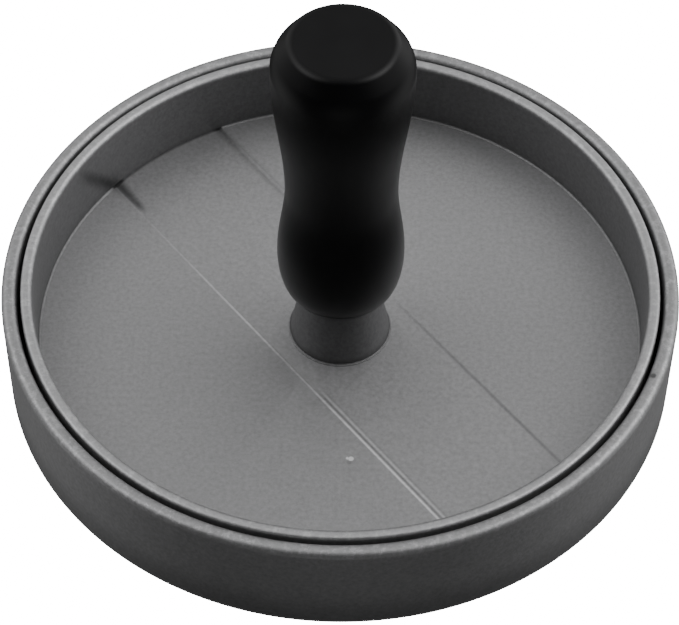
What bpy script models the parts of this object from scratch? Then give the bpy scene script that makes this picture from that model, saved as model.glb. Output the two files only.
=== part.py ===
"""Patty press: a round cast mould, a cast press plate that nests in it, and a screwed-on grip.

Blender 4.5, metres, +Z up. The origin is on the table, under the middle of the mould.
Everything is turned about the Z axis, which is also the axis of every joint.
Dimensions below are in millimetres, and heights are measured up from the table.
"""
import math

import bmesh
import bpy
from mathutils import Matrix

MM = 0.001
COLLECTION = "patty_press"
GAP = 0.3                    # left between pieces that touch

# Mould: a shallow round pan with a rounded lip.
MOULD_HEIGHT = 20.5
MOULD_RADIUS = 60.0          # outside, just under the lip
MOULD_FOOT_RADIUS = 59.8     # outside, at the table: the casting draft
MOULD_BORE_RADIUS = 57.3     # inside, at the lip
MOULD_BORE_FOOT_RADIUS = 57.0
MOULD_FLOOR = 2.5            # height of the inside floor
MOULD_FLOOR_FILLET = 1.5
LIP_INNER_ROUNDING = 1.4
LIP_OUTER_ROUNDING = 1.15    # across the lip
LIP_OUTER_DROP = 2.5         # how far down the outside that rounding reaches
FOOT_ROUNDING = 1.2
FOOT_RING_RADIUS = 52.0      # inner edge of the ring that the mould stands on
FOOT_RECESS = 0.6

# Press plate: a dish with a rim, a raised conical boss and a shallow band across its floor.
PLATE_UNDERSIDE = 4.4
PLATE_FLOOR = 7.2
PLATE_RIM_HEIGHT = 20.6
PLATE_RADIUS = 56.6
PLATE_FOOT_RADIUS = 56.3
PLATE_WALL_RADIUS = 54.5     # inside of the rim, at the top
PLATE_CORNER_RADIUS = 54.3   # inside of the rim, at the floor
PLATE_CORNER_FILLET = 0.5
RIM_INNER_ROUNDING = 1.0
RIM_OUTER_ROUNDING = 0.6
PLATE_FOOT_ROUNDING = 0.9
BOSS_BASE_RADIUS = 8.9
BOSS_TOP_RADIUS = 7.0
BOSS_TOP = 18.1
BOSS_FILLET = 0.3
BOSS_EDGE_ROUNDING = 0.4
BAND_WIDTH = 24.5
BAND_DEPTH = 0.15
BAND_OFFSET = -0.58          # of the band's middle from the axis
BAND_ANGLE = -51.75          # degrees from +X towards +Y, also the direction of the ribs

# Ribs on the two pressing faces.
RIB_PITCH = 8.6
RIB_COUNT = 11
RIB_HEIGHT = 0.8
RIB_BASE_WIDTH = 3.0
RIB_CREST_WIDTH = 1.8
RIB_REACH = 51.5             # how far from the axis a rib may end
RIB_ROOT = 0.5               # how deep a rib starts inside the casting

# Fixing: an M6 stud, a plain washer and a moulded-in threaded insert.
STUD_RADIUS = 3.0
STUD_FOOT = 9.6
STUD_TOP = 31.1
STUD_CHAMFER = 0.6
BORE_CLEARANCE = 0.3         # around the stud and around the insert
WASHER_RADIUS = 6.0
WASHER_HOLE_RADIUS = 3.3
WASHER_THICKNESS = 1.0
INSERT_RADIUS = 4.6
INSERT_LENGTH = 13.0

# Grip: a waisted handle, bulging below and wider above, with a nearly flat round top.
GRIP_FOOT = 19.7
GRIP_FOOT_RADIUS = 8.4       # where the lower end's rounding meets its flat underside
GRIP_LOWER_BULGE = (11.15, 28.5)
GRIP_WAIST = (9.72, 44.5)
GRIP_UPPER_BULGE = (12.05, 72.5)
GRIP_SHOULDER = (3.05, 5.0)  # half-axes of the shoulder's ellipse, across and along
GRIP_SHOULDER_START = 50     # degrees round that ellipse, where the shoulder meets the bead
GRIP_CROWN_RADIUS = 8.4      # of the bead round the top face, at its crest
GRIP_BEAD_ROUNDING = 1.2
GRIP_TOP = 79.0
GRIP_TOP_DISH = 0.2
GRIP_BORE_ROOF = 33.1

RING_STEPS = 80
GRIP_STEPS = 40
SMALL_STEPS = 28


def clear_scene():
    """Remove the objects of the file that the script runs in."""
    for found in list(bpy.data.objects):
        bpy.data.objects.remove(found, do_unlink=True)


def new_collection(name):
    """Make a collection and link it to the scene."""
    made = bpy.data.collections.new(name)
    bpy.context.scene.collection.children.link(made)
    return made


def principled(name, color, metallic, roughness):
    """Make a material with a Principled BSDF."""
    made = bpy.data.materials.new(name)
    made.use_nodes = True
    shader = made.node_tree.nodes["Principled BSDF"]
    shader.inputs["Base Color"].default_value = (*color, 1.0)
    shader.inputs["Metallic"].default_value = metallic
    shader.inputs["Roughness"].default_value = roughness
    return made


def arc(radius_at, height_at, rounding, start, end, count=3):
    """Points of an arc about (radius_at, height_at), from start to end in degrees."""
    return ellipse_part(radius_at, height_at, rounding, rounding, start, end, count)


def ellipse_part(radius_at, height_at, across, along, start, end, count):
    """Points of an ellipse with half-axes across and along, from start to end in degrees."""
    points = []
    for index in range(count + 1):
        angle = math.radians(start + (end - start) * index / count)
        points.append((radius_at + across * math.cos(angle), height_at + along * math.sin(angle)))
    return points


def wave(start, end, count):
    """Points from one (radius, height) to another along half a cosine, ends left out."""
    points = []
    for index in range(1, count):
        part = index / count
        blend = (1 - math.cos(math.pi * part)) / 2
        radius = start[0] + (end[0] - start[0]) * blend
        points.append((radius, start[1] + (end[1] - start[1]) * part))
    return points


def turned(name, outline, steps, material, collection, closed=False):
    """Turn an outline of (radius, height) points, in millimetres, about the Z axis.

    An open outline starts and ends on the axis. A closed one makes a ring.
    """
    mesh = bpy.data.meshes.new(name)
    verts = [(radius * MM, 0.0, height * MM) for radius, height in outline]
    edges = [(index, index + 1) for index in range(len(verts) - 1)]
    if closed:
        edges.append((len(verts) - 1, 0))
    mesh.from_pydata(verts, edges, [])
    made = bpy.data.objects.new(name, mesh)
    collection.objects.link(made)
    screw = made.modifiers.new("turn", "SCREW")
    screw.axis = "Z"
    screw.angle = math.tau
    screw.steps = steps
    screw.render_steps = steps
    screw.use_merge_vertices = True
    screw.merge_threshold = 0.00001
    screw.use_smooth_shade = True
    if material:
        mesh.materials.append(material)
    return made


def as_cutter(made):
    """Show a cutter as wire and keep it out of renders."""
    made.hide_render = True
    made.display_type = "WIRE"
    return made


def add_boolean(target, operation, other):
    """Cut, join or intersect target with another object."""
    boolean = target.modifiers.new(operation.lower(), "BOOLEAN")
    boolean.operation = operation
    boolean.solver = "EXACT"
    boolean.object = other


def box_from(name, size, centre, collection):
    """Make a box of a size in millimetres, with its middle at centre."""
    mesh = bpy.data.meshes.new(name)
    build = bmesh.new()
    bmesh.ops.create_cube(build, size=1.0)
    bmesh.ops.scale(build, vec=[side * MM for side in size], verts=build.verts)
    bmesh.ops.translate(build, vec=[place * MM for place in centre], verts=build.verts)
    build.to_mesh(mesh)
    build.free()
    made = bpy.data.objects.new(name, mesh)
    collection.objects.link(made)
    return made


def cylinder_from(name, radius, low, high, collection):
    """Make a cylinder on the Z axis, from low to high."""
    outline = [(0.0, high), (radius, high), (radius, low), (0.0, low)]
    return as_cutter(turned(name, outline, RING_STEPS, None, collection))


def rib_grid(name, crest, root, collection):
    """Make parallel ribs that narrow from root to crest, two heights in millimetres."""
    mesh = bpy.data.meshes.new(name)
    build = bmesh.new()
    middle = (RIB_COUNT - 1) / 2
    for index in range(RIB_COUNT):
        offset = (index - middle) * RIB_PITCH
        length = 2 * math.sqrt(RIB_REACH ** 2 - offset ** 2)
        rib = bmesh.ops.create_cube(build, size=1.0)["verts"]
        for vert in rib:
            at_crest = vert.co.z > 0
            width = RIB_CREST_WIDTH if at_crest else RIB_BASE_WIDTH
            height = crest if at_crest else root
            end = length - (RIB_BASE_WIDTH - width)
            vert.co = (vert.co.x * end * MM, (vert.co.y * width + offset) * MM, height * MM)
    if crest < root:
        bmesh.ops.reverse_faces(build, faces=build.faces)
    bmesh.ops.rotate(build, matrix=Matrix.Rotation(math.radians(BAND_ANGLE), 3, "Z"), verts=build.verts)
    build.to_mesh(mesh)
    build.free()
    made = bpy.data.objects.new(name, mesh)
    collection.objects.link(made)
    return as_cutter(made)


def mould_outline():
    """From the middle of the inside floor, over the lip and down to the table."""
    lip_inner = MOULD_BORE_RADIUS + LIP_INNER_ROUNDING
    lip_outer = MOULD_RADIUS - LIP_OUTER_ROUNDING
    points = [(0.0, MOULD_FLOOR)]
    points += arc(MOULD_BORE_FOOT_RADIUS - MOULD_FLOOR_FILLET, MOULD_FLOOR + MOULD_FLOOR_FILLET,
                  MOULD_FLOOR_FILLET, -90, 0)
    points += arc(lip_inner, MOULD_HEIGHT - LIP_INNER_ROUNDING, LIP_INNER_ROUNDING, 180, 90)
    points += ellipse_part(lip_outer, MOULD_HEIGHT - LIP_OUTER_DROP,
                           LIP_OUTER_ROUNDING, LIP_OUTER_DROP, 90, 0, 5)
    points += arc(MOULD_FOOT_RADIUS - FOOT_ROUNDING, FOOT_ROUNDING, FOOT_ROUNDING, 0, -90)
    points += [(FOOT_RING_RADIUS, 0.0), (FOOT_RING_RADIUS - FOOT_RECESS, FOOT_RECESS), (0.0, FOOT_RECESS)]
    return points


def make_mould(collection, cutters, material):
    """The pan that holds the meat, with ribs on its floor."""
    mould = turned("mould", mould_outline(), RING_STEPS, material, collection)
    ribs = rib_grid("mould_ribs", MOULD_FLOOR + RIB_HEIGHT, MOULD_FLOOR - RIB_ROOT, cutters)
    add_boolean(mould, "UNION", ribs)
    return mould


def plate_outline():
    """From the bottom of the stud hole, up the boss, across the dish and over the rim."""
    hole = STUD_RADIUS + BORE_CLEARANCE
    slope = (BOSS_BASE_RADIUS - BOSS_TOP_RADIUS) / (BOSS_TOP - PLATE_FLOOR)
    lean = math.degrees(math.atan(slope))
    rim_inner = PLATE_WALL_RADIUS + RIM_INNER_ROUNDING
    rim_outer = PLATE_RADIUS - RIM_OUTER_ROUNDING
    points = [(0.0, STUD_FOOT - GAP), (hole, STUD_FOOT - GAP), (hole, BOSS_TOP)]
    points += arc(BOSS_TOP_RADIUS - BOSS_EDGE_ROUNDING, BOSS_TOP - BOSS_EDGE_ROUNDING,
                  BOSS_EDGE_ROUNDING, 90, lean, 2)
    points += arc(BOSS_BASE_RADIUS + BOSS_FILLET, PLATE_FLOOR + BOSS_FILLET,
                  BOSS_FILLET, 180 + lean, 270, 2)
    points += arc(PLATE_CORNER_RADIUS - PLATE_CORNER_FILLET, PLATE_FLOOR + PLATE_CORNER_FILLET,
                  PLATE_CORNER_FILLET, -90, 0)
    points += arc(rim_inner, PLATE_RIM_HEIGHT - RIM_INNER_ROUNDING, RIM_INNER_ROUNDING, 180, 90)
    points += arc(rim_outer, PLATE_RIM_HEIGHT - RIM_OUTER_ROUNDING, RIM_OUTER_ROUNDING, 90, 0)
    points += arc(PLATE_FOOT_RADIUS - PLATE_FOOT_ROUNDING, PLATE_UNDERSIDE + PLATE_FOOT_ROUNDING,
                  PLATE_FOOT_ROUNDING, 0, -90)
    points += [(0.0, PLATE_UNDERSIDE)]
    return points


def band_cutter(cutters):
    """The shallow band: a strip of the dish's floor, left standing around the boss."""
    above = 0.6
    height = BAND_DEPTH + above
    middle = PLATE_FLOOR - BAND_DEPTH + height / 2
    band = box_from("band", (2 * MOULD_RADIUS, BAND_WIDTH, height), (0.0, BAND_OFFSET, middle), cutters)
    band.rotation_euler.z = math.radians(BAND_ANGLE)
    reach = PLATE_CORNER_RADIUS - 0.1
    inside = cylinder_from("band_reach", reach, PLATE_UNDERSIDE, PLATE_FLOOR + 2, cutters)
    around_boss = BOSS_BASE_RADIUS + BOSS_FILLET + 0.1
    boss_foot = cylinder_from("boss_foot", around_boss, PLATE_UNDERSIDE, PLATE_FLOOR + 2, cutters)
    add_boolean(band, "INTERSECT", inside)
    add_boolean(band, "DIFFERENCE", boss_foot)
    return as_cutter(band)


def make_press_plate(collection, cutters, material):
    """The dish that presses the meat, cast in one with its boss."""
    plate = turned("press_plate", plate_outline(), RING_STEPS, material, collection)
    add_boolean(plate, "DIFFERENCE", band_cutter(cutters))
    ribs = rib_grid("plate_ribs", PLATE_UNDERSIDE - RIB_HEIGHT, PLATE_UNDERSIDE + RIB_ROOT, cutters)
    add_boolean(plate, "UNION", ribs)
    return plate


def make_stud(collection, material):
    """The threaded stud, fixed in the boss and reaching up into the insert."""
    neck = STUD_RADIUS - STUD_CHAMFER
    outline = [(0.0, STUD_TOP), (neck, STUD_TOP), (STUD_RADIUS, STUD_TOP - STUD_CHAMFER),
               (STUD_RADIUS, STUD_FOOT + STUD_CHAMFER), (neck, STUD_FOOT), (0.0, STUD_FOOT)]
    return turned("handle_stud", outline, SMALL_STEPS, material, collection)


def make_washer(collection, material):
    """The plain washer between the boss and the grip."""
    low = BOSS_TOP + GAP
    high = low + WASHER_THICKNESS
    hole = WASHER_HOLE_RADIUS
    outline = [(hole, high), (WASHER_RADIUS, high), (WASHER_RADIUS, low), (hole, low)]
    return turned("handle_washer", outline, SMALL_STEPS, material, collection, closed=True)


def make_insert(collection, material):
    """The threaded insert moulded into the foot of the grip."""
    hole = STUD_RADIUS + BORE_CLEARANCE
    high = GRIP_FOOT + INSERT_LENGTH
    outline = [(hole, high), (INSERT_RADIUS, high), (INSERT_RADIUS, GRIP_FOOT), (hole, GRIP_FOOT)]
    return turned("grip_insert", outline, SMALL_STEPS, material, collection, closed=True)


def grip_outline():
    """From the middle of the top face, down the outside and up the insert's bore."""
    crown, foot = GRIP_CROWN_RADIUS, GRIP_FOOT_RADIUS
    upper, waist, lower = GRIP_UPPER_BULGE, GRIP_WAIST, GRIP_LOWER_BULGE
    across, along = GRIP_SHOULDER
    bore = INSERT_RADIUS + BORE_CLEARANCE
    dish = GRIP_TOP - GRIP_TOP_DISH
    points = [(0.0, dish), (crown - GRIP_BEAD_ROUNDING, dish)]
    points += [(crown, GRIP_TOP), (crown + GRIP_BEAD_ROUNDING, GRIP_TOP - GRIP_BEAD_ROUNDING)]
    points += ellipse_part(upper[0] - across, upper[1], across, along, GRIP_SHOULDER_START, 0, 5)
    points += wave(upper, waist, 8)
    points += [waist]
    points += wave(waist, lower, 6)
    points += ellipse_part(foot, lower[1], lower[0] - foot, lower[1] - GRIP_FOOT, 0, -90, 6)
    points += [(bore, GRIP_FOOT), (bore, GRIP_BORE_ROOF), (0.0, GRIP_BORE_ROOF)]
    return points


def make_grip(collection, material):
    """The black handle."""
    return turned("handle_grip", grip_outline(), GRIP_STEPS, material, collection)


def joint_empty(name, pieces, collection):
    """Parent pieces to an empty on the joint's axis, the Z axis."""
    empty = bpy.data.objects.new(name, None)
    empty.empty_display_size = 10 * MM
    collection.objects.link(empty)
    for piece in pieces:
        piece.parent = empty
    return empty


def main():
    """Build the patty press."""
    clear_scene()
    pieces = new_collection(COLLECTION)
    cutters = new_collection("cutters")
    casting = principled("cast_aluminium", (0.42, 0.42, 0.43), 0.9, 0.5)
    steel = principled("zinc_plated_steel", (0.62, 0.62, 0.63), 1.0, 0.35)
    brass = principled("brass", (0.72, 0.55, 0.28), 1.0, 0.35)
    plastic = principled("black_plastic", (0.012, 0.012, 0.013), 0.0, 0.4)
    make_mould(pieces, cutters, casting)
    plate = make_press_plate(pieces, cutters, casting)
    stud = make_stud(pieces, steel)
    washer = make_washer(pieces, steel)
    insert = make_insert(pieces, brass)
    grip = make_grip(pieces, plastic)
    press_axis = joint_empty("press_axis", [plate, stud], pieces)
    turn_axis = joint_empty("grip_turn_axis", [washer], pieces)
    rise_axis = joint_empty("grip_rise_axis", [insert, grip], pieces)
    turn_axis.parent = press_axis
    rise_axis.parent = turn_axis


main()
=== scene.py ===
"""Looks of the patty press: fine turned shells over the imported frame, materials, light, camera."""

import math

import bmesh
import bpy
from mathutils import Matrix, Vector


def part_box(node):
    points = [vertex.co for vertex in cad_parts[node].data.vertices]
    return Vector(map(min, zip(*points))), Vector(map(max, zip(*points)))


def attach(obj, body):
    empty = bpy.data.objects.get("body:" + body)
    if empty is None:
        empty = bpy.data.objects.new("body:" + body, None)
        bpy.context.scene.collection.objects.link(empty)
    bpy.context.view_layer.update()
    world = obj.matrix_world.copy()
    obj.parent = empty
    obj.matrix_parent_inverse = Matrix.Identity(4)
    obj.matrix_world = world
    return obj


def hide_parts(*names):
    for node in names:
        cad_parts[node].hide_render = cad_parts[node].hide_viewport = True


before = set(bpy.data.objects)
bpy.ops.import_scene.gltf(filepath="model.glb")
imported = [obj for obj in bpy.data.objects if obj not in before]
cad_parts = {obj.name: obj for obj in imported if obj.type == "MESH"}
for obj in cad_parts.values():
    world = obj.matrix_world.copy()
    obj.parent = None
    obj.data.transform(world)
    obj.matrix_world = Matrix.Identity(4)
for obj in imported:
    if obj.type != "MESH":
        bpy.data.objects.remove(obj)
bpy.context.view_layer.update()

MM = 0.001


def size_of(node):
    """Outer radius, lowest and highest point of a turned CAD node, in millimetres."""
    low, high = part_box(node)
    return high.x / MM, low.z / MM, high.z / MM


# Driving sizes, read from the frame, in millimetres.
MOULD_RADIUS, _, MOULD_TOP = size_of("mould")
PLATE_RADIUS, _, PLATE_TOP = size_of("press_plate")
GRIP_RADIUS, GRIP_FOOT, GRIP_TOP = size_of("handle_grip")
STUD_RADIUS, STUD_FOOT, STUD_TOP = size_of("handle_stud")
WASHER_RADIUS, WASHER_LOW, WASHER_HIGH = size_of("handle_washer")
INSERT_RADIUS, INSERT_LOW, INSERT_HIGH = size_of("grip_insert")

# Details of the two castings, in millimetres.
MOULD_FOOT_RADIUS = 59.8
MOULD_BORE_RADIUS = 57.3
MOULD_BORE_FOOT_RADIUS = 57.0
MOULD_FLOOR = 2.5
FLOOR_FILLET = 1.5
LIP_INNER_ROUNDING = 1.1
LIP_OUTER_ROUNDING = 1.15
LIP_OUTER_DROP = 1.25
FOOT_ROUNDING = 1.2
FOOT_RING_RADIUS = 52.0
FOOT_RECESS = 0.6
PLATE_UNDERSIDE = 4.4
PLATE_FLOOR = 7.2
PLATE_FOOT_RADIUS = 56.3
PLATE_WALL_RADIUS = 54.5
PLATE_CORNER_RADIUS = 54.3
CORNER_FILLET = 0.5
RIM_INNER_ROUNDING = 1.0
RIM_OUTER_ROUNDING = 0.6
PLATE_FOOT_ROUNDING = 0.9
BOSS_BASE_RADIUS = 8.9
BOSS_TOP_RADIUS = 7.0
BOSS_TOP = 18.1
BOSS_FILLET = 0.3
BOSS_EDGE_ROUNDING = 0.4
STUD_HOLE_CHAMFER = 0.3
BAND_WIDTH = 24.5
BAND_DEPTH = 0.15
BAND_OFFSET = -0.58
BAND_ANGLE = math.radians(-51.75)
BAND_EDGE_WIDTH = 0.9
RIB_PITCH = 8.6
RIB_COUNT = 11
RIB_HEIGHT = 0.8
RIB_BASE_WIDTH = 3.0
RIB_CREST_WIDTH = 1.8
RIB_REACH = 51.5
RIB_ROOT = 0.5
RIB_EDGE_ROUNDING = 0.35

# The grip's outline, in millimetres. A bulge or the waist is a (radius, height).
GRIP_FOOT_RADIUS = 8.4
GRIP_LOWER_BULGE = (11.15, 28.5)
GRIP_WAIST = (9.72, 44.5)
GRIP_UPPER_BULGE_HEIGHT = 72.5
GRIP_SHOULDER = (3.05, 5.0)
GRIP_SHOULDER_START = math.radians(50)
GRIP_BEAD_ROUNDING = 1.7
GRIP_BEAD_START = 97  # degrees, a little inside the bead's highest point
GRIP_TOP_DISH = 0.2
GRIP_TOP_CURVE = ((0.5, 0.02), (0.8, 0.09))  # part of the crown's radius, rise from the middle
GRIP_BORE_ROOF = 33.1
GRIP_BORE_CHAMFER = 0.4
BORE_CLEARANCE = 0.3  # between a bore and the pin or insert in it

# Steps round a turn.
RING_STEPS = 384
GRIP_STEPS = 192
SMALL_STEPS = 96
THREAD_STEPS = 48


# ---------------------------------------------------------------- outlines

def arc(radius_at, height_at, rounding, start, end, count=8):
    """Points of an arc about (radius_at, height_at), from start to end in degrees."""
    return ellipse_part(radius_at, height_at, rounding, rounding, start, end, count)


def ellipse_part(radius_at, height_at, across, along, start, end, count):
    """Points of an ellipse with half-axes across and along, from start to end in degrees."""
    points = []
    for index in range(count + 1):
        angle = math.radians(start + (end - start) * index / count)
        points.append((radius_at + across * math.cos(angle), height_at + along * math.sin(angle)))
    return points


def wave(start, end, count):
    """Points from one (radius, height) to another along half a cosine, ends left out."""
    points = []
    for index in range(1, count):
        part = index / count
        blend = (1 - math.cos(math.pi * part)) / 2
        radius = start[0] + (end[0] - start[0]) * blend
        points.append((radius, start[1] + (end[1] - start[1]) * part))
    return points


def held(points, margin=0.05):
    """Add a point margin outside each end, so that flats beside a rounding stay flat in shading."""
    (first_r, first_z), (second_r, second_z) = points[0], points[1]
    (last_r, last_z), (before_r, before_z) = points[-1], points[-2]
    start = Vector((first_r - second_r, first_z - second_z)).normalized() * margin
    end = Vector((last_r - before_r, last_z - before_z)).normalized() * margin
    return [(first_r + start.x, first_z + start.y)] + points + [(last_r + end.x, last_z + end.y)]


def mould_outline():
    """From the middle of the inside floor, over the lip and down to the table."""
    points = [(0.0, MOULD_FLOOR)]
    points += held(arc(MOULD_BORE_FOOT_RADIUS - FLOOR_FILLET, MOULD_FLOOR + FLOOR_FILLET,
                       FLOOR_FILLET, -90, 0))
    points += held(arc(MOULD_BORE_RADIUS + LIP_INNER_ROUNDING, MOULD_TOP - LIP_INNER_ROUNDING,
                       LIP_INNER_ROUNDING, 180, 90))
    points += held(ellipse_part(MOULD_RADIUS - LIP_OUTER_ROUNDING, MOULD_TOP - LIP_OUTER_DROP,
                                LIP_OUTER_ROUNDING, LIP_OUTER_DROP, 90, 0, 14))
    points += held(arc(MOULD_FOOT_RADIUS - FOOT_ROUNDING, FOOT_ROUNDING,
                       FOOT_ROUNDING, 0, -90, 10))
    points += [(FOOT_RING_RADIUS, 0.0), (FOOT_RING_RADIUS - FOOT_RECESS, FOOT_RECESS)]
    points += [(0.0, FOOT_RECESS)]
    return points


def plate_outline():
    """From the bottom of the stud hole, up the boss, across the dish and over the rim."""
    hole = STUD_RADIUS + BORE_CLEARANCE
    slope = (BOSS_BASE_RADIUS - BOSS_TOP_RADIUS) / (BOSS_TOP - PLATE_FLOOR)
    lean = math.degrees(math.atan(slope))
    hole_foot = STUD_FOOT - BORE_CLEARANCE
    points = [(0.0, hole_foot), (hole, hole_foot)]
    points += [(hole, BOSS_TOP - STUD_HOLE_CHAMFER), (hole + STUD_HOLE_CHAMFER, BOSS_TOP)]
    points += held(arc(BOSS_TOP_RADIUS - BOSS_EDGE_ROUNDING, BOSS_TOP - BOSS_EDGE_ROUNDING,
                       BOSS_EDGE_ROUNDING, 90, lean, 6))
    points += held(arc(BOSS_BASE_RADIUS + BOSS_FILLET, PLATE_FLOOR + BOSS_FILLET,
                       BOSS_FILLET, 180 + lean, 270, 6))
    points += held(arc(PLATE_CORNER_RADIUS - CORNER_FILLET, PLATE_FLOOR + CORNER_FILLET,
                       CORNER_FILLET, -90, 0))
    points += held(arc(PLATE_WALL_RADIUS + RIM_INNER_ROUNDING, PLATE_TOP - RIM_INNER_ROUNDING,
                       RIM_INNER_ROUNDING, 180, 90, 12))
    points += held(arc(PLATE_RADIUS - RIM_OUTER_ROUNDING, PLATE_TOP - RIM_OUTER_ROUNDING,
                       RIM_OUTER_ROUNDING, 90, 0))
    points += held(arc(PLATE_FOOT_RADIUS - PLATE_FOOT_ROUNDING,
                       PLATE_UNDERSIDE + PLATE_FOOT_ROUNDING, PLATE_FOOT_ROUNDING, 0, -90))
    points += [(0.0, PLATE_UNDERSIDE)]
    return points


def grip_outline():
    """From the middle of the top face, down the outside and up the insert's bore.

    The bead's arc starts on the dished top and ends on the shoulder's ellipse, tangent to it.
    """
    upper = (GRIP_RADIUS, GRIP_UPPER_BULGE_HEIGHT)
    lower = GRIP_LOWER_BULGE
    bore = INSERT_RADIUS + BORE_CLEARANCE
    across, along = GRIP_SHOULDER
    start = GRIP_SHOULDER_START
    bead = GRIP_BEAD_ROUNDING
    dish = GRIP_TOP - GRIP_TOP_DISH
    shoulder = (upper[0] - across + across * math.cos(start),
                upper[1] + along * math.sin(start))
    lean = math.atan2(math.cos(start) / across, math.sin(start) / along)
    below_bead = shoulder[1] - (GRIP_TOP - bead)
    crown = shoulder[0] - (bead - below_bead * math.cos(lean)) / math.sin(lean)
    points = [(0.0, dish)] + [(crown * part, dish + rise) for part, rise in GRIP_TOP_CURVE]
    points += arc(crown, GRIP_TOP - bead, bead, GRIP_BEAD_START, 90 - math.degrees(lean), 12)
    points += ellipse_part(upper[0] - across, upper[1], across, along,
                           math.degrees(start), 0, 24)
    points += wave(upper, GRIP_WAIST, 32)
    points += [GRIP_WAIST]
    points += wave(GRIP_WAIST, lower, 20)
    points += ellipse_part(GRIP_FOOT_RADIUS, lower[1], lower[0] - GRIP_FOOT_RADIUS,
                           lower[1] - GRIP_FOOT, 0, -90, 20)
    points += [(bore + GRIP_BORE_CHAMFER, GRIP_FOOT), (bore, GRIP_FOOT + GRIP_BORE_CHAMFER)]
    points += [(bore, GRIP_BORE_ROOF), (0.0, GRIP_BORE_ROOF)]
    return points


# ---------------------------------------------------------------- meshes

NO_RADIUS = 1e-6  # a point this near the axis is one vertex


def object_from(name, build):
    """Make a linked object in metres from a bmesh in millimetres."""
    bmesh.ops.scale(build, vec=(MM, MM, MM), verts=build.verts)
    bmesh.ops.recalc_face_normals(build, faces=build.faces)
    mesh = bpy.data.meshes.new(name)
    build.to_mesh(mesh)
    build.free()
    made = bpy.data.objects.new(name, mesh)
    bpy.context.scene.collection.objects.link(made)
    return made


def turned(name, outline, steps, closed=False, radius_at=None):
    """Turn an outline of (radius, height) points about the Z axis.

    radius_at(radius, height, angle), if given, changes the radius round the turn.
    """
    build = bmesh.new()
    rings = []
    for radius, height in outline:
        if radius < NO_RADIUS:
            rings.append([build.verts.new((0.0, 0.0, height))])
            continue
        ring = []
        for step in range(steps):
            angle = math.tau * step / steps
            reach = radius_at(radius, height, angle) if radius_at else radius
            place = (reach * math.cos(angle), reach * math.sin(angle), height)
            ring.append(build.verts.new(place))
        rings.append(ring)
    pairs = list(zip(rings, rings[1:]))
    if closed:
        pairs.append((rings[-1], rings[0]))
    for upper, lower in pairs:
        for step in range(steps):
            after = (step + 1) % steps
            if len(upper) == 1:
                build.faces.new((upper[0], lower[step], lower[after]))
            elif len(lower) == 1:
                build.faces.new((upper[step], lower[0], upper[after]))
            else:
                build.faces.new((upper[step], lower[step], lower[after], upper[after]))
    return object_from(name, build)


def smooth(piece, angle=30):
    """Shade smooth and keep edges sharper than angle degrees."""
    piece.data.shade_smooth()
    piece.data.set_sharp_from_angle(angle=math.radians(angle))


def combine(piece, operation, other):
    """Cut or join piece with other, apply the result and remove other."""
    boolean = piece.modifiers.new("combine", "BOOLEAN")
    boolean.operation = operation
    boolean.solver = "MANIFOLD"
    boolean.object = other
    bpy.context.view_layer.update()
    evaluated = piece.evaluated_get(bpy.context.evaluated_depsgraph_get())
    done = bpy.data.meshes.new_from_object(evaluated)
    done.name = piece.name
    piece.modifiers.clear()
    piece.data = done
    bpy.data.objects.remove(other, do_unlink=True)


def rib_grid(name, crest, root):
    """Parallel ribs with rounded crests, from root to crest in height, along the band."""
    build = bmesh.new()
    middle = (RIB_COUNT - 1) / 2
    at_height = 1e-4
    for index in range(RIB_COUNT):
        offset = (index - middle) * RIB_PITCH
        length = 2 * math.sqrt(RIB_REACH ** 2 - offset ** 2)
        rib = bmesh.ops.create_cube(build, size=1.0)["verts"]
        for vert in rib:
            at_crest = vert.co.z > 0
            width = RIB_CREST_WIDTH if at_crest else RIB_BASE_WIDTH
            end = length - (RIB_BASE_WIDTH - width)
            height = crest if at_crest else root
            vert.co = (vert.co.x * end, vert.co.y * width + offset, height)
    rounded = [edge for edge in build.edges
               if any(abs(vert.co.z - crest) < at_height for vert in edge.verts)]
    bmesh.ops.bevel(build, geom=rounded, offset=RIB_EDGE_ROUNDING, segments=4, profile=0.5,
                    affect="EDGES")
    bmesh.ops.rotate(build, matrix=Matrix.Rotation(BAND_ANGLE, 3, "Z"), verts=build.verts)
    return object_from(name, build)


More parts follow.
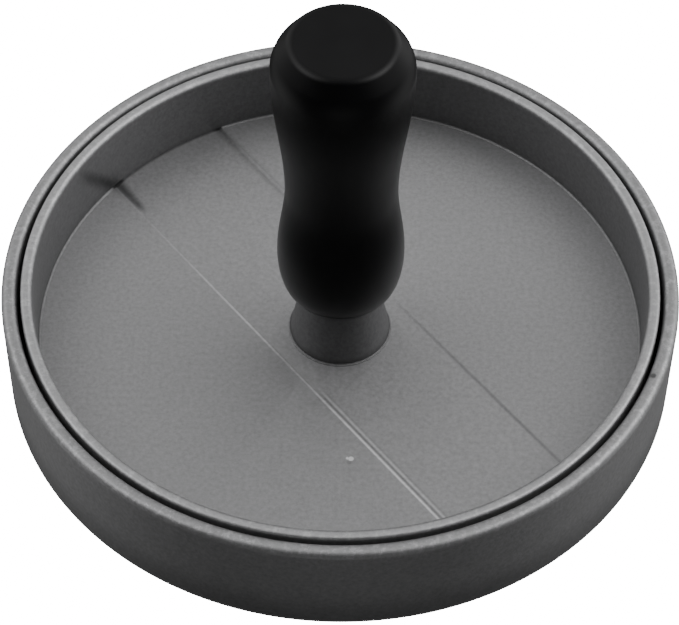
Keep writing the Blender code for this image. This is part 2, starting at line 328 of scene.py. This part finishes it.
def band_cutter():
    """The shallow band's space: a strip with soft edges, from the dish's corner to the boss.

    A disc trims its ends just inside the corner, and a cone opens it just outside the boss.
    """
    headroom = 0.55
    from_corner = 0.06
    from_boss = 0.12
    cone_narrower, cone_wider = 0.1, 0.05
    clear_low, clear_high = 5.0, 12.0
    low = PLATE_FLOOR - BAND_DEPTH
    above = PLATE_FLOOR + headroom
    foot = (BAND_WIDTH - BAND_EDGE_WIDTH) / 2
    edge = (BAND_WIDTH + BAND_EDGE_WIDTH) / 2
    slope = wave((low, foot), (PLATE_FLOOR, edge), 8)
    side = [(foot, low)] + [(across, height) for height, across in slope]
    side += [(edge, PLATE_FLOOR), (edge, above)]
    section = side + [(-across, height) for across, height in reversed(side)]
    build = bmesh.new()
    length = 2 * PLATE_RADIUS
    ends = []
    for end in (-length / 2, length / 2):
        ends.append([build.verts.new((end, across + BAND_OFFSET, height))
                     for across, height in section])
    count = len(section)
    for index in range(count):
        after = (index + 1) % count
        build.faces.new((ends[0][index], ends[0][after], ends[1][after], ends[1][index]))
    build.faces.new(ends[0])
    build.faces.new(ends[1])
    bmesh.ops.rotate(build, matrix=Matrix.Rotation(BAND_ANGLE, 3, "Z"), verts=build.verts)
    band = object_from("band", build)
    reach = PLATE_CORNER_RADIUS - from_corner
    disc = [(0.0, clear_high), (reach, clear_high), (reach, clear_low), (0.0, clear_low)]
    combine(band, "INTERSECT", turned("reach", disc, RING_STEPS))
    boss = BOSS_BASE_RADIUS + BOSS_FILLET + from_boss
    cone = [(0.0, clear_high), (boss - cone_narrower, clear_high), (boss + cone_wider, clear_low),
            (0.0, clear_low)]
    combine(band, "DIFFERENCE", turned("foot", cone, RING_STEPS))
    return band


def make_mould():
    """The outer pan with its ribbed floor."""
    mould = turned("mould_shell", mould_outline(), RING_STEPS)
    ribs = rib_grid("ribs", MOULD_FLOOR + RIB_HEIGHT, MOULD_FLOOR - RIB_ROOT)
    combine(mould, "UNION", ribs)
    smooth(mould)
    return mould


def make_plate():
    """The press plate with its boss, band and ribbed underside."""
    plate = turned("press_dish", plate_outline(), RING_STEPS)
    combine(plate, "DIFFERENCE", band_cutter())
    ribs = rib_grid("ribs", PLATE_UNDERSIDE - RIB_HEIGHT, PLATE_UNDERSIDE + RIB_ROOT)
    combine(plate, "UNION", ribs)
    smooth(plate)
    return plate


def make_grip():
    """The black handle."""
    grip = turned("grip_body", grip_outline(), GRIP_STEPS)
    smooth(grip)
    return grip


def make_stud():
    """The stud with its M6 thread, a helix of one millimetre pitch, chamfered at both ends."""
    pitch = 1.0
    depth = 0.55
    chamfer = 0.6
    rise = 0.125  # from one ring of points to the next
    steepness = 1.25  # over 1, it leaves a flat on the thread's crest
    length = STUD_TOP - STUD_FOOT
    count = round(length / rise)
    heights = [STUD_TOP - length * index / count for index in range(count + 1)]

    def thread(radius, height, angle):
        """The thread's radius at a height and an angle."""
        turn = (height / pitch - angle / math.tau) % 1.0
        ridge = 1 - abs(2 * turn - 1)
        from_end = min(height - STUD_FOOT, STUD_TOP - height)
        most = STUD_RADIUS - max(0.0, chamfer - from_end)
        return min(radius - depth * (1 - min(1.0, ridge * steepness)), most)

    side = [(STUD_RADIUS, height) for height in heights]
    outline = [(0.0, STUD_TOP)] + side + [(0.0, STUD_FOOT)]
    stud = turned("threaded_stud", outline, THREAD_STEPS, radius_at=thread)
    smooth(stud, 50)
    return stud


def make_washer():
    """The plain washer, its edges broken."""
    edge = 0.12
    hole = STUD_RADIUS + BORE_CLEARANCE
    outline = [(hole, WASHER_HIGH - edge), (hole + edge, WASHER_HIGH)]
    outline += arc(WASHER_RADIUS - edge, WASHER_HIGH - edge, edge, 90, 0, 3)
    outline += arc(WASHER_RADIUS - edge, WASHER_LOW + edge, edge, 0, -90, 3)
    outline += [(hole + edge, WASHER_LOW), (hole, WASHER_LOW + edge)]
    washer = turned("washer_ring", outline, SMALL_STEPS, closed=True)
    smooth(washer)
    return washer


def make_insert():
    """The brass insert, with knurls and two grooves that lock it in the plastic."""
    edge = 0.3
    groove_places = (0.68, 0.4)  # parts of the length
    groove_depth = 0.5
    groove_top, groove_floor = 1.1, 0.7  # half widths
    knurl_depth = 0.12
    plain_foot = 1.0
    hole = STUD_RADIUS + BORE_CLEARANCE
    length = INSERT_HIGH - INSERT_LOW
    outline = [(hole, INSERT_HIGH - edge), (hole + edge, INSERT_HIGH),
               (INSERT_RADIUS - edge, INSERT_HIGH), (INSERT_RADIUS, INSERT_HIGH - edge)]
    for part in groove_places:
        middle = INSERT_LOW + length * part
        outline += [(INSERT_RADIUS, middle + groove_top),
                    (INSERT_RADIUS - groove_depth, middle + groove_floor),
                    (INSERT_RADIUS - groove_depth, middle - groove_floor),
                    (INSERT_RADIUS, middle - groove_top)]
    outline += [(INSERT_RADIUS, INSERT_LOW), (hole + edge, INSERT_LOW), (hole, INSERT_LOW + edge)]

    def knurl(radius, height, angle):
        """Straight knurls on the outside, every other step, clear of the foot."""
        outside = radius > INSERT_RADIUS - 0.01 and height > INSERT_LOW + plain_foot
        sunk = outside and round(angle / math.tau * SMALL_STEPS) % 2
        return radius - (knurl_depth if sunk else 0.0)

    insert = turned("brass_insert", outline, SMALL_STEPS, closed=True, radius_at=knurl)
    smooth(insert)
    return insert


# ---------------------------------------------------------------- materials

# A Mix node's sockets for colours.
MIX_COLOR_A = 6
MIX_COLOR_B = 7
MIX_COLOR_RESULT = 2

# Colours, and roughness from low to high.
BLACK = (0.0, 0.0, 0.0)
CAST_COLOR = (0.6, 0.6, 0.608)
CAST_ROUGHNESS = (0.53, 0.555)
STEEL_COLORS = ((0.50, 0.50, 0.51), (0.64, 0.64, 0.65))
BRASS_COLORS = ((0.62, 0.46, 0.20), (0.76, 0.58, 0.30))
TURNED_ROUGHNESS = (0.25, 0.42)
PLASTIC_COLORS = ((0.002, 0.002, 0.0022), (0.004, 0.004, 0.0044))
PLASTIC_ROUGHNESS = (0.28, 0.32)
PLASTIC_SPECULAR = 0.13
CLOUD_SPREAD = (0.3, 0.7)  # the part of a noise that the roughness follows

# Noises: cycles per millimetre, detail and roughness. Heights of bumps, in millimetres.
CAST_GRAIN = (1.25, 3.0, 0.7)
CAST_GRAIN_HEIGHT = 0.03
CAST_CLOUD = (0.32, 3.0, 0.6)
CAST_CHIPS = (0.8, 5.0, 0.75)
PLASTIC_GRAIN = (3.0, 2.0, 0.5)
PLASTIC_GRAIN_HEIGHT = 0.006
PLASTIC_CLOUD = (0.15, 2.0, 0.5)
TURNING = (6.0, 2.0, 0.5)
TURNING_HEIGHT = 0.01
METAL_CLOUD = (0.5, 2.0, 0.5)

# How light the casting is: a plain level and the shares of the grain, the clouds and the rim, whose
# lighter band is partly rubbed wear and partly painted highlight.
CAST_LEVEL = 0.27
GRAIN_SHARE = 0.27
CLOUD_SHARE = 0.04
MOULD_RIM_WEAR_AND_SHEEN = -0.03
PRESS_RIM_WEAR_AND_SHEEN = 0.09
RUBBED_SHINE = 0.15
RUBBED_CHIPS = (0.5, 0.64)
RUBBED_FROM, RUBBED_TO = 1.2, 0.2  # millimetres under the rim

# Marks on the castings, in millimetres, most of them painted light and shade. A shine or shade is
# what a mark adds to a level of one.
# A spot is its place (x, y), the radius of its full middle and the radius where it ends. A line is
# its offset and half width. A ramp runs from one place to another, between the values that follow.
# The pit is painted shade only: a dark spot on the lip, with no dent in the shape.
PIT = ((54.1, -21.3), 0.3, 0.75)
PIT_BELOW_LIP = 3.0
PIT_PAINTED_SHADE = -0.7
# The foot's lighter line is a painted reflection of the table on the foot's rounding.
FOOT_PAINTED_REFLECTION = (1.1, 0.4)
FOOT_PAINTED_REFLECTION_SHINE = 0.5
# Painted shade: the outer wall darker towards the table.
LOWER_WALL_PAINTED_SHADE_RAMP = (1.0, 10.0, -0.3, 0.05)

# Places along the band are counted from its middle, negative towards the back.
# Painted highlight along the band's left edge, with painted shade and highlight lines beside it.
LEFT_PAINTED_HIGHLIGHT_WIDTH = 0.38
LEFT_PAINTED_HIGHLIGHT_RAMP = (-46.0, -2.0, 0.15, 0.95)
PAINTED_STEP_LINES = ((0.56, 0.32, -0.3), (1.03, 0.36, 0.4), (1.5, 0.32, -0.14))  # offset, half width, shine
PAINTED_STEP_LINES_RAMP = (8.0, 13.0)
# Painted shade along the band's right edge, wider towards the back.
RIGHT_PAINTED_SHADE_WIDTH = 0.5
RIGHT_PAINTED_SHADE_RAMP = (10.0, 40.0, 0.0, -0.35)
BACK_PAINTED_SHADE_OFFSET = -0.2
BACK_PAINTED_SHADE_WIDTH = 1.4
BACK_PAINTED_SHADE_RAMP = (-34.0, -28.0, 1.0, 0.0)
BACK_PAINTED_SHADE = -0.27

# A dark wedge along the band's left edge, starting at the dish's wall.
DARK_WEDGE_OFFSET = 0.9
DARK_WEDGE_WIDTH_RAMP = (-54.0, -43.0, 2.1, 0.9)
DARK_WEDGE_END_RAMP = (-46.5, -43.0, 1.0, 0.0)
DARK_WEDGE_SHADE = -0.6
# The dark wedge's painted reflection up the dish's inner wall.
WEDGE_REFLECTION = ((-45.4, 30.2), 2.0, 7.0)
WEDGE_REFLECTION_DIRECTION = (-0.56, -0.83)
WEDGE_REFLECTION_CLIMB_RAMP = (-3.3, 5.2, 8.1, 18.0)
WEDGE_REFLECTION_WIDTH = 3.2
WEDGE_REFLECTION_SHADE = -0.33
SPECK = ((2.2, -30.0), 0.25, 0.6)
SPECK_TAIL = ((1.6, -29.9), 0.05, 0.4)
SPECK_SHINE = 1.9
SPECK_SHADOW = ((1.9, -30.8), 0.2, 0.6)
SPECK_SHADE = -0.25
# Painted shade on the dish's inner wall.
WALL_PAINTED_SHADE = -0.22
# Painted shade on the boss.
BOSS_PAINTED_SHADE = -0.37
# Painted shade in the dish's corner and round the boss's foot.
CORNER_PAINTED_SHADE = -0.28
DARKEST_MARK = 0.2


class Nodes:
    """A node tree, built a node at a time."""

    def __init__(self, tree):
        self.tree = tree

    def add(self, kind, inputs=None, **settings):
        """Add a node, set its settings, and link or set its inputs."""
        made = self.tree.nodes.new(kind)
        for key, value in settings.items():
            setattr(made, key, value)
        for key, value in (inputs or {}).items():
            self.feed(made.inputs[key], value)
        return made

    def feed(self, socket, value):
        """Link a socket's value, or set a constant."""
        if isinstance(value, bpy.types.NodeSocket):
            self.tree.links.new(value, socket)
        else:
            socket.default_value = value

    def math(self, operation, first, second=0.0):
        """A Math node's output."""
        return self.add("ShaderNodeMath", {0: first, 1: second}, operation=operation).outputs[0]

    def sum(self, *values):
        """The sum of several values."""
        total = values[0]
        for value in values[1:]:
            total = self.math("ADD", total, value)
        return total

    def times(self, *values):
        """The product of several values."""
        total = values[0]
        for value in values[1:]:
            total = self.math("MULTIPLY", total, value)
        return total


class Shader(Nodes):
    """A material, its pattern coordinates in millimetres."""

    def __init__(self, name):
        self.material = bpy.data.materials.new(name)
        self.material.use_nodes = True
        super().__init__(self.material.node_tree)
        self.principled = self.tree.nodes["Principled BSDF"]
        coordinates = self.add("ShaderNodeTexCoord").outputs["Object"]
        inputs = {0: coordinates, "Scale": 1 / MM}
        scaled = self.add("ShaderNodeVectorMath", inputs, operation="SCALE")
        self.place = scaled.outputs[0]
        parts = self.add("ShaderNodeSeparateXYZ", {"Vector": self.place})
        self.x, self.y, self.z = parts.outputs
        square = self.sum(self.times(self.x, self.x), self.times(self.y, self.y))
        self.radius = self.math("SQRT", square)

    def noise(self, scale, detail, roughness, at=None):
        """Noise with a scale in cycles per millimetre, about 0 to 1."""
        inputs = {"Vector": at or self.place, "Scale": scale, "Detail": detail,
                  "Roughness": roughness}
        return self.add("ShaderNodeTexNoise", inputs).outputs["Fac"]

    def ramp(self, value, low, high, start=0.0, end=1.0, smooth_step=True):
        """Map value from low..high to start..end, held beyond them."""
        kind = "SMOOTHSTEP" if smooth_step else "LINEAR"
        inputs = {"Value": value, "From Min": low, "From Max": high, "To Min": start, "To Max": end}
        made = self.add("ShaderNodeMapRange", inputs, interpolation_type=kind)
        return made.outputs["Result"]

    def line(self, value, middle, half_width):
        """One where value is middle, falling to zero half_width away."""
        away = self.math("ABSOLUTE", self.math("SUBTRACT", value, middle))
        return self.ramp(away, 0.0, half_width, 1.0, 0.0)

    def spot(self, middle, inner, outer):
        """One within inner of a point (x, y), falling to zero at outer."""
        offset_x = self.math("SUBTRACT", self.x, middle[0])
        offset_y = self.math("SUBTRACT", self.y, middle[1])
        square = self.sum(self.times(offset_x, offset_x), self.times(offset_y, offset_y))
        return self.ramp(self.math("SQRT", square), inner, outer, 1.0, 0.0)

    def bump(self, height, depth):
        """A bump whose height of 1 stands depth millimetres proud."""
        inputs = {"Height": height, "Distance": depth * MM}
        return self.add("ShaderNodeBump", inputs).outputs["Normal"]

    def tint(self, value, dark, light):
        """Mix between two colours by value."""
        inputs = {"Factor": value, MIX_COLOR_A: (*dark, 1.0), MIX_COLOR_B: (*light, 1.0)}
        return self.add("ShaderNodeMix", inputs, data_type="RGBA").outputs[MIX_COLOR_RESULT]

    def finish(self, **inputs):
        """Link or set the shader's inputs, an underscore standing for a space."""
        for key, value in inputs.items():
            self.feed(self.principled.inputs[key.replace("_", " ")], value)
        return self.material


def casting(name, rim_height, rim_wear_and_sheen, marks):
    """Satin cast aluminium: a fine blasted grain, a rim lighter partly by rubbing and partly by
    painted highlight, and a piece's own marks.
    """
    shader = Shader(name)
    grain = shader.noise(*CAST_GRAIN)
    cloud = shader.noise(*CAST_CLOUD)
    chips = shader.noise(*CAST_CHIPS)
    on_rim = shader.ramp(shader.z, rim_height - RUBBED_FROM, rim_height - RUBBED_TO)
    rubbed = shader.times(on_rim, shader.ramp(chips, *RUBBED_CHIPS))
    level = shader.sum(CAST_LEVEL, shader.times(grain, GRAIN_SHARE),
                       shader.times(cloud, CLOUD_SHARE))
    # The rim's lighter band: partly rubbed wear, partly painted highlight.
    level = shader.sum(level, shader.times(on_rim, rim_wear_and_sheen), shader.times(rubbed, RUBBED_SHINE))
    color = shader.tint(shader.times(level, marks(shader)), BLACK, CAST_COLOR)
    roughness = shader.ramp(cloud, *CLOUD_SPREAD, *CAST_ROUGHNESS)
    normal = shader.bump(grain, CAST_GRAIN_HEIGHT)
    return shader.finish(Base_Color=color, Roughness=roughness, Normal=normal, Metallic=1.0)


def mould_marks(shader):
    """Painted shade of a pit in the lip, a painted reflection along the foot where the mould stands,
    and painted shade darker towards the bottom of the walls.
    """
    pit_foot = MOULD_TOP - PIT_BELOW_LIP
    # Painted shade where the lip has a pit.
    painted_pit_shade = shader.times(shader.spot(*PIT), shader.ramp(shader.z, pit_foot, pit_foot + 1.0))
    # Painted reflection of the table along the foot.
    foot = shader.line(shader.z, *FOOT_PAINTED_REFLECTION)
    # Painted shade, darker towards the bottom of the wall.
    lower = shader.ramp(shader.z, *LOWER_WALL_PAINTED_SHADE_RAMP)
    return shader.sum(1.0, shader.times(painted_pit_shade, PIT_PAINTED_SHADE), shader.times(foot, FOOT_PAINTED_REFLECTION_SHINE), lower)


def band_painted_lights(shader, along, across):
    """Painted highlights and painted shade along the band's edges, along and across measured from
    its middle.
    """
    edge = BAND_WIDTH / 2
    in_front = shader.ramp(along, *PAINTED_STEP_LINES_RAMP)
    at_back = shader.ramp(along, *BACK_PAINTED_SHADE_RAMP)
    # Painted highlight on the left edge, then painted shade and highlight lines beside it.
    painted_left_highlight = shader.times(shader.line(across, -edge, LEFT_PAINTED_HIGHLIGHT_WIDTH),
                        shader.ramp(along, *LEFT_PAINTED_HIGHLIGHT_RAMP))
    painted_step_lines = [shader.times(shader.line(across, -edge + offset, half_width), in_front, shine)
              for offset, half_width, shine in PAINTED_STEP_LINES]
    # Painted shade on the right edge, and wider at the back.
    painted_right_shade = shader.times(shader.line(across, edge, RIGHT_PAINTED_SHADE_WIDTH),
                         shader.ramp(along, *RIGHT_PAINTED_SHADE_RAMP))
    painted_back_shade = shader.times(shader.line(across, edge + BACK_PAINTED_SHADE_OFFSET, BACK_PAINTED_SHADE_WIDTH),
                        at_back, BACK_PAINTED_SHADE)
    return shader.sum(painted_left_highlight, *painted_step_lines, painted_right_shade, painted_back_shade)


def wall_painted_reflection(shader):
    """The dark wedge's painted reflection up the dish's wall, higher the further round it is."""
    round_wall = shader.sum(shader.times(shader.x, WEDGE_REFLECTION_DIRECTION[0]),
                            shader.times(shader.y, WEDGE_REFLECTION_DIRECTION[1]))
    height = shader.ramp(round_wall, *WEDGE_REFLECTION_CLIMB_RAMP, smooth_step=False)
    climb = shader.math("SUBTRACT", shader.z, height)
    return shader.times(shader.line(climb, 0.0, WEDGE_REFLECTION_WIDTH), shader.spot(*WEDGE_REFLECTION))


def press_marks(shader):
    """What sets the dish's surfaces apart: painted light and shade along the band, a dark wedge and
    its painted reflection, a speck with its painted shadow, and painted shade on the walls, the boss
    and the corners.
    """
    cosine, sine = math.cos(BAND_ANGLE), math.sin(BAND_ANGLE)
    along = shader.sum(shader.times(shader.x, cosine), shader.times(shader.y, sine))
    across = shader.sum(shader.times(shader.y, cosine), shader.times(shader.x, -sine), -BAND_OFFSET)
    on_floor = shader.ramp(shader.z, PLATE_FLOOR + 0.1, PLATE_FLOOR + 0.4, 1.0, 0.0)
    painted_band_lights = band_painted_lights(shader, along, across)
    # A darker wedge along the band's left edge by the wall.
    width = shader.ramp(along, *DARK_WEDGE_WIDTH_RAMP, smooth_step=False)
    aside = shader.math("ABSOLUTE", shader.math("SUBTRACT", across, DARK_WEDGE_OFFSET - BAND_WIDTH / 2))
    dark_wedge = shader.times(shader.ramp(aside, 0.0, width, 1.0, 0.0),
                         shader.ramp(along, *DARK_WEDGE_END_RAMP))
    speck = shader.math("MAXIMUM", shader.spot(*SPECK), shader.spot(*SPECK_TAIL))
    # Painted shade on the dish's inner wall.
    on_wall = shader.times(
        shader.ramp(shader.radius, PLATE_CORNER_RADIUS - 0.45, PLATE_CORNER_RADIUS - 0.25),
        shader.ramp(shader.z, PLATE_TOP - 1.0, PLATE_TOP - 0.3, 1.0, 0.0),
    )
    # Painted shade on the boss.
    on_boss = shader.ramp(shader.radius, BOSS_BASE_RADIUS + 0.2, BOSS_BASE_RADIUS + 0.4, 1.0, 0.0)
    # Painted shade in the dish's corner and round the boss's foot, low down only.
    painted_corner_shade = shader.line(shader.radius, PLATE_CORNER_RADIUS - 0.25, 0.5)
    foot = shader.line(shader.radius, BOSS_BASE_RADIUS + 0.15, 0.4)
    low = shader.ramp(shader.z, PLATE_TOP - 4.0, PLATE_TOP - 2.0, 1.0, 0.0)
    marks = shader.sum(
        shader.times(on_floor, painted_band_lights),
        shader.times(on_floor, dark_wedge, DARK_WEDGE_SHADE),
        shader.times(speck, SPECK_SHINE),
        shader.times(shader.spot(*SPECK_SHADOW), SPECK_SHADE),
        shader.times(wall_painted_reflection(shader), WEDGE_REFLECTION_SHADE),
        shader.times(on_wall, WALL_PAINTED_SHADE),
        shader.times(on_boss, BOSS_PAINTED_SHADE),
        shader.times(low, shader.sum(painted_corner_shade, foot), CORNER_PAINTED_SHADE),
    )
    inside = shader.times(
        shader.ramp(shader.z, PLATE_FLOOR - 1.0, PLATE_FLOOR - 0.5),
        shader.ramp(shader.radius, PLATE_WALL_RADIUS + 0.6, PLATE_WALL_RADIUS + 1.0, 1.0, 0.0),
    )
    return shader.math("MAXIMUM", shader.sum(1.0, shader.times(inside, marks)), DARKEST_MARK)


def plastic(name):
    """Black satin moulded plastic."""
    shader = Shader(name)
    grain = shader.noise(*PLASTIC_GRAIN)
    cloud = shader.noise(*PLASTIC_CLOUD)
    color = shader.tint(cloud, *PLASTIC_COLORS)
    roughness = shader.ramp(cloud, *CLOUD_SPREAD, *PLASTIC_ROUGHNESS)
    normal = shader.bump(grain, PLASTIC_GRAIN_HEIGHT)
    return shader.finish(Base_Color=color, Roughness=roughness, Normal=normal, Metallic=0.0,
                         Specular_IOR_Level=PLASTIC_SPECULAR)


def plain_metal(name, dark, light):
    """Turned or plated metal with fine rings round its axis."""
    shader = Shader(name)
    rings = shader.add("ShaderNodeCombineXYZ", {"X": shader.radius, "Z": shader.z}).outputs[0]
    turning = shader.noise(*TURNING, at=rings)
    cloud = shader.noise(*METAL_CLOUD)
    color = shader.tint(cloud, dark, light)
    roughness = shader.ramp(turning, *CLOUD_SPREAD, *TURNED_ROUGHNESS)
    normal = shader.bump(turning, TURNING_HEIGHT)
    return shader.finish(Base_Color=color, Roughness=roughness, Normal=normal, Metallic=1.0)


# ---------------------------------------------------------------- stage

BACKDROP = 20.0
FLOOR_LIGHT = 20.0
FLOOR_REACH = 6000.0
FLOOR_DROP = 0.05
FLOOR_COLOR = (0.9, 0.9, 0.9, 1.0)
FLOOR_ROUGHNESS = 0.9
WHITE = (1.0, 1.0, 1.0, 1.0)

# Soft light: azimuth from +X towards +Y, elevation, tightness and strength of each glow.
GLOWS = (
    (0, 47, 16.0, 8.6),
    (45, 45, 9.0, 1.15),
    (135, 45, 9.0, 1.6),
    (180, 48, 16.0, 4.9),
    (180, 70, 9.0, 0.28),
    (45, 15, 9.0, 2.3),
    (135, 15, 9.0, 1.2),
    (0, -22, 9.0, 1.15),
    (180, -22, 9.0, 1.1),
    (270, -22, 9.0, 0.55),
)

# The camera: its lens and sensor in millimetres, its distance and aim in metres.
CAMERA_LENS = 151.1
CAMERA_SENSOR = 36.0
CAMERA_SHIFT = (-0.0007, 0.0071)
CAMERA_DISTANCE = 0.49895
CAMERA_ELEVATION = math.radians(50.14)
CAMERA_LEAN = math.radians(0.70)
CAMERA_AIM = Vector((0.0, -0.0091, MOULD_TOP * MM))


def make_floor():
    """A plain pale table top, which the object doesn't reflect."""
    build = bmesh.new()
    bmesh.ops.create_grid(build, x_segments=1, y_segments=1, size=FLOOR_REACH)
    bmesh.ops.translate(build, vec=(0.0, 0.0, -FLOOR_DROP), verts=build.verts)
    floor = object_from("pale_floor", build)
    pale = Shader("pale_floor").finish(Base_Color=FLOOR_COLOR, Roughness=FLOOR_ROUGHNESS,
                                       Emission_Color=WHITE, Emission_Strength=FLOOR_LIGHT)
    floor.data.materials.append(pale)
    floor.visible_glossy = False
    floor.visible_diffuse = False


def make_world():
    """Soft glows all round the object, and a pale backdrop that only the camera sees."""
    world = bpy.data.worlds.new("studio")
    bpy.context.scene.world = world
    world.use_nodes = True
    world.node_tree.nodes.clear()
    nodes = Nodes(world.node_tree)
    direction = nodes.add("ShaderNodeTexCoord").outputs["Generated"]
    glows = []
    for azimuth, elevation, focus, strength in GLOWS:
        across, up = math.radians(azimuth), math.radians(elevation)
        centre = (math.cos(up) * math.cos(across), math.cos(up) * math.sin(across), math.sin(up))
        inputs = {0: direction, 1: centre}
        dot = nodes.add("ShaderNodeVectorMath", inputs, operation="DOT_PRODUCT")
        fall = nodes.times(nodes.math("SUBTRACT", dot.outputs["Value"], 1.0), focus)
        glows.append(nodes.times(nodes.math("EXPONENT", fall), strength))
    around = nodes.add("ShaderNodeBackground", {"Strength": nodes.sum(*glows)})
    backdrop = nodes.add("ShaderNodeBackground", {"Strength": BACKDROP})
    seen = nodes.add("ShaderNodeLightPath").outputs["Is Camera Ray"]
    inputs = {0: seen, 1: around.outputs[0], 2: backdrop.outputs[0]}
    mix = nodes.add("ShaderNodeMixShader", inputs)
    nodes.add("ShaderNodeOutputWorld", {"Surface": mix.outputs[0]})


def make_camera():
    """The camera: half a metre away, looking down at 50 degrees."""
    outward = Vector((0.0, -math.cos(CAMERA_ELEVATION), math.sin(CAMERA_ELEVATION)))
    place = CAMERA_AIM + CAMERA_DISTANCE * outward
    data = bpy.data.cameras.new("camera")
    data.lens = CAMERA_LENS
    data.sensor_width = CAMERA_SENSOR
    data.shift_x, data.shift_y = CAMERA_SHIFT
    camera = bpy.data.objects.new("camera", data)
    bpy.context.scene.collection.objects.link(camera)
    turn = (CAMERA_AIM - place).to_track_quat("-Z", "Y").to_matrix().to_4x4()
    camera.matrix_world = Matrix.Translation(place) @ turn @ Matrix.Rotation(CAMERA_LEAN, 4, "Z")
    bpy.context.scene.camera = camera


def place_piece(piece, body, node, material):
    """Give a piece its material and its body, and hide the CAD node it stands for."""
    piece.data.materials.clear()
    piece.data.materials.append(material)
    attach(piece, body)
    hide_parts(node)


def main():
    """Build the visual model, the light and the camera."""
    make_camera()
    make_world()
    make_floor()
    mould_cast = casting("mould_aluminium", MOULD_TOP, MOULD_RIM_WEAR_AND_SHEEN, mould_marks)
    press_cast = casting("press_aluminium", PLATE_TOP, PRESS_RIM_WEAR_AND_SHEEN, press_marks)
    steel = plain_metal("zinc_steel", *STEEL_COLORS)
    brass = plain_metal("brass", *BRASS_COLORS)
    black = plastic("black_plastic")
    place_piece(make_mould(), "mould", "mould", mould_cast)
    place_piece(make_plate(), "press", "press_plate", press_cast)
    place_piece(make_stud(), "press", "handle_stud", steel)
    place_piece(make_washer(), "washer", "handle_washer", steel)
    place_piece(make_insert(), "grip", "grip_insert", brass)
    place_piece(make_grip(), "grip", "handle_grip", black)


main()
